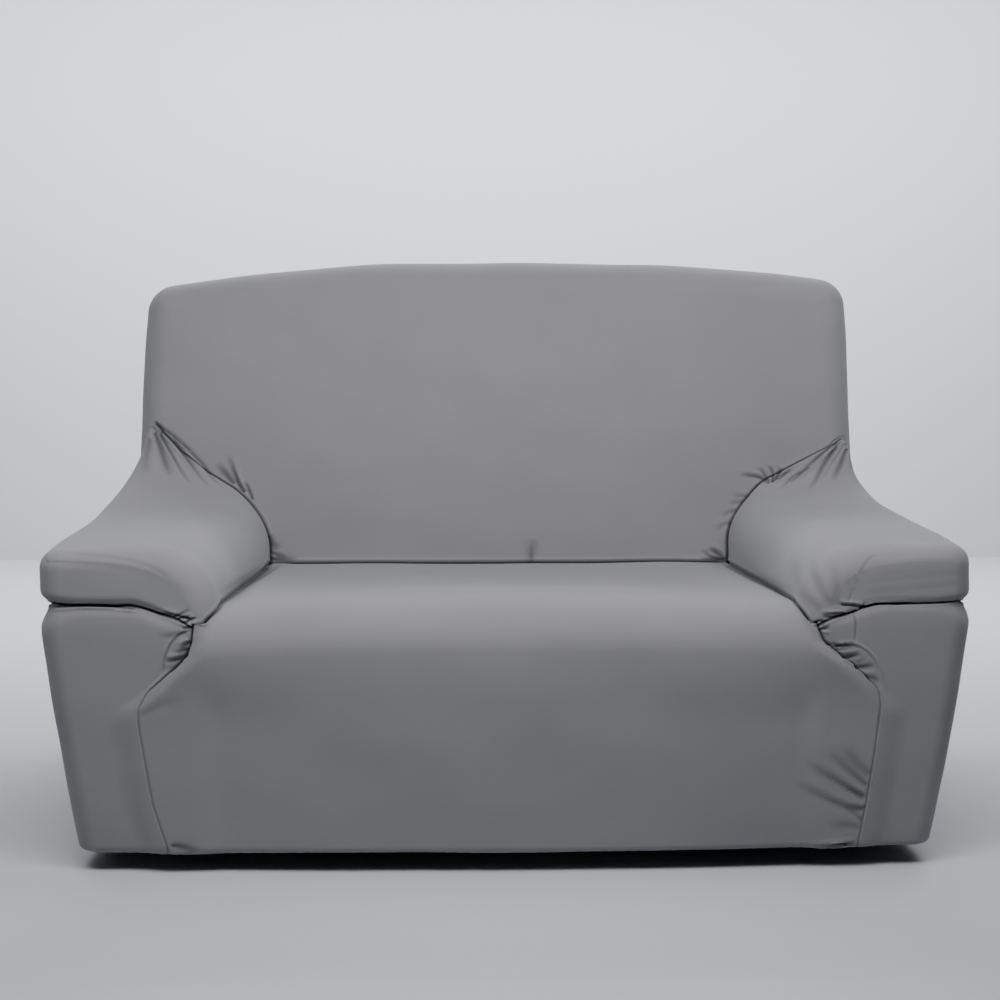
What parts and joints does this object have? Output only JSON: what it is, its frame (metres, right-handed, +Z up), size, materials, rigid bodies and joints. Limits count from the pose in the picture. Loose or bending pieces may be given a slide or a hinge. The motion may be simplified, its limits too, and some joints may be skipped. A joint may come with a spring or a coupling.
{
  "type": "sofa slipcover",
  "caption": "Fitted stretch-knit cover for a two-seat sofa with padded arms: a hollow cloth shell, open underneath, sewn from shaped panels with a turned hem.",
  "frame": {"origin": "under the top of the back, where the top of the sofa's back carries the cloth", "axes": "+X to the right as one looks at the front, across the sofa's width; +Y from the front to the rear; +Z up"},
  "size_m": [1.4938, 0.9173, 1.001],
  "materials": {
    "knit": "grey fine stretch knit, matt with a slight sheen"
  },
  "bodies": {
    "root": {"inside_back": "knit", "outside_back": "knit", "seat_and_apron": "knit", "arm_left": "knit", "arm_right": "knit", "side_left": "knit", "side_right": "knit"}
  },
  "joints": []
}
